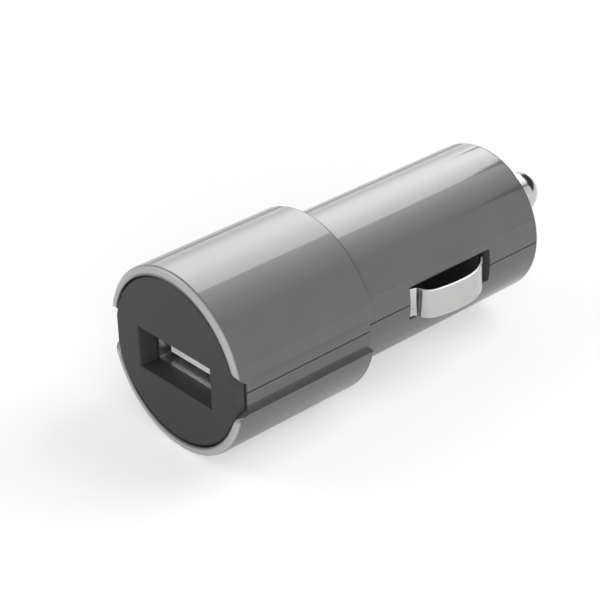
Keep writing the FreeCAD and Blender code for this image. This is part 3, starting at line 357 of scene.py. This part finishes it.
def tube(name, path, radius, sides=12, dome=3):
    """A round wire along a line of points; each end is a dome of a few rings with a small flat cap."""
    path = [Vector(point) for point in path]
    tangents = [(after - before).normalized() for before, after in
                zip(path[:1] + path[:-1], path[1:] + path[-1:])]
    rings = [(point, tangent, radius) for point, tangent in zip(path, tangents)]
    for step in range(1, dome + 1):
        angle = math.pi / 2 * step / (dome + 0.5)
        bulge, reach = radius * math.sin(angle), radius * math.cos(angle)
        rings.insert(0, (path[0] - tangents[0] * bulge, tangents[0], reach))
        rings.append((path[-1] + tangents[-1] * bulge, tangents[-1], reach))
    corners = []
    across = tangents[0].orthogonal()
    for centre, tangent, reach in rings:
        across = (across - tangent * across.dot(tangent)).normalized()
        other = tangent.cross(across)
        corners += [centre + (across * math.cos(angle) + other * math.sin(angle)) * reach
                    for angle in (math.tau * i / sides for i in range(sides))]
    return skin(name, corners, sides)


def helix(centre, axis, radius, length, turns, steps=40):
    """Points along a coil that starts at centre and climbs along an axis of the frame."""
    first, second = [i for i in range(3) if i != axis]
    points = []
    for i in range(round(turns * steps) + 1):
        angle = math.tau * i / steps
        point = list(centre)
        point[first] += radius * math.cos(angle)
        point[second] += radius * math.sin(angle)
        point[axis] += length * i / (turns * steps)
        points.append(point)
    return points


# The coil stands in its cup, and the tip's flange squashes it.
SPRING_WIRE_RADIUS = 0.25 * MM
SPRING_TURNS = 3.5
low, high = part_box("tip_spring")
cup_low, cup_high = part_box("spring_cup")
spring_axis = (cup_low.z + cup_high.z) / 2
spring_run = high.y - low.y - 2 * SPRING_WIRE_RADIUS
coil = helix((0, low.y + SPRING_WIRE_RADIUS, spring_axis), axis=1, radius=high.x - SPRING_WIRE_RADIUS,
             length=spring_run, turns=SPRING_TURNS)
spring = added(tube("coil_spring", coil, SPRING_WIRE_RADIUS), "housing", spring_steel,
               "tip_spring")
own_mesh(spring)

# The insulated wire takes the route of its solid: out of the cup, up a slope and flat under the board.
# Its bare end starts inside the insulation, turns up and stands through the board, as all leads do.
WIRE_RADIUS = 0.6 * MM
CONDUCTOR_RADIUS = 0.25 * MM
SLOPE_START, SLOPE_END = 9.68 * MM, 1.68 * MM
CONDUCTOR_INSIDE, CONDUCTOR_BARE = 0.3 * MM, 0.75 * MM
LEAD_PAST_BOARD = 0.7 * MM
low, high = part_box("positive_wire")
axis_height, flat_height = low.z + WIRE_RADIUS, high.z - WIRE_RADIUS


def eased(route, setback, steps=6):
    """A line of points with each corner rounded off."""
    points = [Vector(route[0])]
    for before, corner, after in zip(route, route[1:], route[2:]):
        before, corner, after = Vector(before), Vector(corner), Vector(after)
        first = corner + (before - corner).normalized() * setback
        last = corner + (after - corner).normalized() * setback
        for i in range(steps + 1):
            share = i / steps
            points.append(first.lerp(corner, share).lerp(corner.lerp(last, share), share))
    return points + [Vector(route[-1])]


wire_route = [(0, high.y, axis_height), (0, SLOPE_START, axis_height), (0, SLOPE_END, flat_height),
              (0, low.y, flat_height)]
added(tube("insulated_wire", eased(wire_route, 0.6 * MM), WIRE_RADIUS, dome=1), "housing",
      red_sleeve, "positive_wire")

_, board_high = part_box("circuit_board")
lead_top = board_high.z + LEAD_PAST_BOARD
rise = low.y - CONDUCTOR_BARE
bare_end = [(0, low.y + CONDUCTOR_INSIDE, flat_height), (0, rise, flat_height), (0, rise, lead_top)]
added(tube("bare_wire_end", eased(bare_end, 0.3 * MM), CONDUCTOR_RADIUS), "housing", tinned_lead)
solder_spots = [(0, rise)]

# The winding: one close layer between the flanges, with its two tails brought up through the board.
WINDING_WIRE_RADIUS = 0.3 * MM
TAIL_RADIUS = 0.17 * MM
low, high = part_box("inductor_winding")
_, core_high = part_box("inductor_core")
middle = (low.y + high.y) / 2
winding_run = high.z - low.z - 2 * WINDING_WIRE_RADIUS
layer = helix((0, middle, low.z + WINDING_WIRE_RADIUS), axis=2, radius=high.x - WINDING_WIRE_RADIUS,
              length=winding_run, turns=winding_run / (2 * WINDING_WIRE_RADIUS), steps=28)
added(tube("copper_winding", layer, WINDING_WIRE_RADIUS, sides=8, dome=1), "housing",
      copper, "inductor_winding")
for end, sign in (("right", 1), ("left", -1)):
    outside = sign * (core_high.x + TAIL_RADIUS)
    start_height = high.z - WINDING_WIRE_RADIUS if sign > 0 else low.z + WINDING_WIRE_RADIUS
    tail = [(sign * (high.x - WINDING_WIRE_RADIUS), middle, start_height),
            (outside, middle, start_height), (outside, middle, lead_top)]
    added(tube(f"winding_tail_{end}", eased(tail, 0.2 * MM), TAIL_RADIUS, sides=8), "housing",
          copper)
    solder_spots.append((outside, middle))

# The capacitors' legs and the receptacle's contacts, soldered on the board's upper side.
LEG_PITCH = 2.0 * MM
LEG_RADIUS = 0.25 * MM
LEG_IN_CAN = 0.2 * MM
CONTACT_HALF_THICKNESS = 0.125 * MM
for node in ("input_capacitor", "output_capacitor"):
    low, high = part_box(node)
    for number, sign in ((1, -1), (2, 1)):
        x, y = (low.x + high.x) / 2, (low.y + high.y) / 2 + sign * LEG_PITCH / 2
        leg = tube(f"{node}_leg_{number}", [(x, y, high.z - LEG_IN_CAN), (x, y, lead_top)], LEG_RADIUS, sides=8)
        added(leg, "housing", tinned_lead)
        solder_spots.append((x, y))
for number in range(1, 5):
    low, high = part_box(f"usb_contact_{number}")
    solder_spots.append(((low.x + high.x) / 2, high.y - CONTACT_HALF_THICKNESS))


def solder_mound(name, place, radius=0.75 * MM, height=0.6 * MM, tip=0.14 * MM, hollow=1.6, sides=16, rings=6):
    """A hollow-sided cone of solder that stands on the board."""
    corners = []
    for ring in range(rings + 1):
        share = ring / rings
        reach = radius * (1 - share) ** hollow + tip * share
        corners += [(place[0] + reach * math.cos(math.tau * i / sides),
                     place[1] + reach * math.sin(math.tau * i / sides),
                     board_high.z + height * share) for i in range(sides)]
    return skin(name, corners, sides)


for number, spot in enumerate(solder_spots, start=1):
    added(solder_mound(f"solder_{number}", spot), "housing", solder)


# ---- Floor, background and light ---------------------------------------------------------------

def seen_directly(nodes, links, by_camera, mirrored):
    """How white a surface shows to the camera, and to reflections and clear things; 0 where it only lights."""
    path = nodes.new("ShaderNodeLightPath")
    seen = None
    for ray, share in (("Is Camera Ray", by_camera), ("Is Glossy Ray", mirrored),
                       ("Is Transmission Ray", mirrored)):
        step = nodes.new("ShaderNodeMath")
        step.operation = "MULTIPLY_ADD"
        links.new(path.outputs[ray], step.inputs[0])
        step.inputs[1].default_value = share
        step.inputs[2].default_value = 0
        if seen is not None:
            links.new(seen, step.inputs[2])
        seen = step.outputs[0]
    return seen


# The world's strength where it only lights. Then how much of the floor is plain white instead of lit card, to
# the camera and in reflections, and the length of its sides.
FILL = 0.25
FLOOR_WHITE = 0.5
FLOOR_WHITE_MIRRORED = 0.05
FLOOR_SIZE = 6


def white_world():
    """A world that shows as plain white and lights the plug a little from all sides."""
    world = bpy.data.worlds.new("studio")
    world.use_nodes = True
    nodes, links = world.node_tree.nodes, world.node_tree.links
    lit, white = nodes["Background"], nodes.new("ShaderNodeBackground")
    for node, strength in ((lit, FILL), (white, 1)):
        node.inputs["Color"].default_value = (1, 1, 1, 1)
        node.inputs["Strength"].default_value = strength
    blend = nodes.new("ShaderNodeMixShader")
    links.new(seen_directly(nodes, links, 1, 1), blend.inputs[0])
    links.new(lit.outputs[0], blend.inputs[1])
    links.new(white.outputs[0], blend.inputs[2])
    links.new(blend.outputs[0], nodes["World Output"].inputs["Surface"])
    return world


def white_card():
    """The floor: white card that keeps a part of every shadow and shows the rest as the white background."""
    g = Graph("white_card")
    fibre = g.noise(0.4 * MM, detail=3)
    colour = g.mix(g.spread(fibre, 0, 1), (0.93, 0.93, 0.93), (0.95, 0.95, 0.95))
    card = g.finish(Base_Color=colour, Roughness=0.9)
    white = g.add("ShaderNodeEmission", {"Color": (1, 1, 1), "Strength": 1})
    share = seen_directly(g.nodes, g.links, FLOOR_WHITE, FLOOR_WHITE_MIRRORED)
    blend = g.add("ShaderNodeMixShader", {0: share, 1: g.shader.outputs[0], 2: white.outputs[0]})
    g.links.new(blend.outputs[0], g.nodes["Material Output"].inputs["Surface"])
    return card


bpy.context.scene.world = white_world()
bpy.ops.mesh.primitive_plane_add(size=FLOOR_SIZE, location=(0, 0, 0))
floor = bpy.context.object
floor.name = "floor"
floor.data.materials.append(white_card())


def softbox(name, place, aim, size, radiance, across=()):
    """A rectangular softbox, turned towards a point; radiance 1 is as bright as the white world.

    Across gives the share of that radiance at places along its first size, from 0 to 1.
    """
    lamp = bpy.data.lights.new(name, "AREA")
    lamp.shape = "RECTANGLE"
    lamp.size, lamp.size_y = size
    lamp.energy = radiance * math.pi * size[0] * size[1]
    if across:
        lamp.use_nodes = True
        nodes, links = lamp.node_tree.nodes, lamp.node_tree.links
        axes = nodes.new("ShaderNodeSeparateXYZ")
        links.new(nodes.new("ShaderNodeNewGeometry").outputs["Parametric"], axes.inputs[0])
        ramp = nodes.new("ShaderNodeValToRGB")
        links.new(axes.outputs["X"], ramp.inputs[0])
        stops = ramp.color_ramp.elements
        while len(stops) < len(across):
            stops.new(0.5)
        for stop, (spot, share) in zip(stops, across):
            stop.position = spot
            stop.color = (share, share, share, 1)
        links.new(ramp.outputs[0], nodes["Emission"].inputs["Strength"])
    box = bpy.data.objects.new(name, lamp)
    bpy.context.scene.collection.objects.link(box)
    away = (Vector(place) - Vector(aim)).normalized()
    side = Vector((0, 1, 0)).cross(away).normalized()
    box.matrix_world = Matrix.Translation(place) @ Matrix((side, away.cross(side), away)).transposed().to_4x4()
    return box


# Bands of softboxes arch over the plug with two edges along it, so head and barrel show them as even stripes.
# Turns are degrees about the plug's axis, from its right side (0) over the top (90) to its left (180).
# They only show in reflections, and leave the soft light on the floor to the world and the other boxes.
BAND_DISTANCE = 1.0
BAND_MIDDLE, BAND_LENGTH = 0.715, 0.47


def band(name, levels):
    """A softbox that covers a range of turns; levels are its turns, from low to high, and their radiance."""
    first, last = levels[0][0], levels[-1][0]
    middle, half = math.radians((first + last) / 2), math.radians((last - first) / 2)
    peak = max(level for _, level in levels)
    across = [(0.5 - math.tan(math.radians(turn) - middle) / (2 * math.tan(half)), level / peak)
              for turn, level in reversed(levels)]
    place = (BAND_DISTANCE * math.cos(middle), BAND_MIDDLE, AXIS_HEIGHT + BAND_DISTANCE * math.sin(middle))
    width = 2 * BAND_DISTANCE * math.tan(half)
    box = softbox(name, place, (0, BAND_MIDDLE, AXIS_HEIGHT), (width, BAND_LENGTH), peak, across)
    box.visible_diffuse = False


band("rising_band", [(54, 0), (62, 0.4), (70, 0.7), (78, 1.1), (86, 1.7), (97.5, 2.5)])
band("key_band", [(97.5, 5.1), (104, 5.5), (114, 5.9), (126, 6.2), (134, 5.8), (142, 4.9), (150, 4.1)])
band("falling_band", [(150, 4.1), (158, 2.6), (166, 1.4), (182, 0.9)])


DARK_CARD_GREY = 0.06
DARK_CARD_SIZE = (1.3, 0.9)
DARK_CARD_PLACE = (0.1, 1.0, 0.48)


def dark_card():
    """An upright dark card behind the tip that only mirrors see; the barrels' reflections pass over it."""
    g = Graph("dark_card")
    grey = g.add("ShaderNodeEmission", {"Color": (DARK_CARD_GREY,) * 3, "Strength": 1})
    g.links.new(grey.outputs[0], g.nodes["Material Output"].inputs["Surface"])
    half_width, half_height = DARK_CARD_SIZE[0] / 2, DARK_CARD_SIZE[1] / 2
    sheet = bpy.data.meshes.new("dark_card")
    sheet.from_pydata([(-half_width, 0, -half_height), (half_width, 0, -half_height),
                       (half_width, 0, half_height), (-half_width, 0, half_height)], [], [(0, 1, 2, 3)])
    sheet.materials.append(g.material)
    card = bpy.data.objects.new("dark_card", sheet)
    bpy.context.scene.collection.objects.link(card)
    card.location = DARK_CARD_PLACE
    card.visible_camera = card.visible_diffuse = card.visible_shadow = False


dark_card()


FRONT_BOX_SIZE = (0.7, 0.5)
RIGHT_BOX_SIZE = (1.3, 0.6)


def aimed_box(name, direction, distance, size, radiance):
    """A softbox that looks at the middle of the face from a direction."""
    face_middle = Vector((0, FACE, AXIS_HEIGHT))
    softbox(name, face_middle + Vector(direction).normalized() * distance, face_middle, size, radiance)


aimed_box("front_left_box", (-0.65, -0.5, 0.57), distance=1.0, size=FRONT_BOX_SIZE, radiance=2.6)
aimed_box("front_right_box", (0.68, -0.58, 0.45), distance=1.0, size=FRONT_BOX_SIZE, radiance=4.4)
aimed_box("right_box", (1.0, -0.25, 0.3), distance=1.2, size=RIGHT_BOX_SIZE, radiance=2.7)

# This one only gives soft light, and throws the shadow before the face.
rear_top_box = softbox("rear_top_box", (0.4, 0.8, 1.0), aim=(0, 0, 0), size=(0.9, 0.9), radiance=4.6)
rear_top_box.visible_glossy = False


# ---- Camera ------------------------------------------------------------------------------------

# The fit of the camera: degrees to the right of the face, above the floor and turned about the line of sight,
# its place from the middle of the face, and its focal length in pixels of a picture 600 wide.
VIEW_TURNS = (48.882, 30.34, -1.668)
RIGHT_OF_FACE, ABOVE_FACE, BACK_FROM_FACE = 14.631, 7.610, 238.434
FIT_SCALE = 1.0315 * MM
FOCAL_PIXELS, PICTURE_WIDTH = 2061.56, 600
SENSOR_WIDTH = 36
CLIP_RANGE = (0.01, 20)


def photo_camera():
    """The photograph's view, fitted to the plug's outline, joint line, port and window."""
    azimuth, elevation, roll = (math.radians(angle) for angle in VIEW_TURNS)
    back = Vector((math.sin(azimuth) * math.cos(elevation), -math.cos(azimuth) * math.cos(elevation),
                   math.sin(elevation)))
    right = Vector((0, 0, 1)).cross(back).normalized()
    up = back.cross(right)
    right, up = right * math.cos(roll) + up * math.sin(roll), up * math.cos(roll) - right * math.sin(roll)
    camera = bpy.data.objects.new("photo_camera", bpy.data.cameras.new("photo_camera"))
    bpy.context.scene.collection.objects.link(camera)
    from_face = (right * RIGHT_OF_FACE + up * ABOVE_FACE + back * BACK_FROM_FACE) * FIT_SCALE
    place = from_face + Vector((0, FACE, AXIS_HEIGHT))
    camera.matrix_world = Matrix.Translation(place) @ Matrix((right, up, back)).transposed().to_4x4()
    camera.data.sensor_width = SENSOR_WIDTH
    camera.data.lens = FOCAL_PIXELS * SENSOR_WIDTH / PICTURE_WIDTH
    camera.data.clip_start, camera.data.clip_end = CLIP_RANGE
    return camera


bpy.context.scene.camera = photo_camera()
bpy.context.scene.view_settings.view_transform = "Standard"
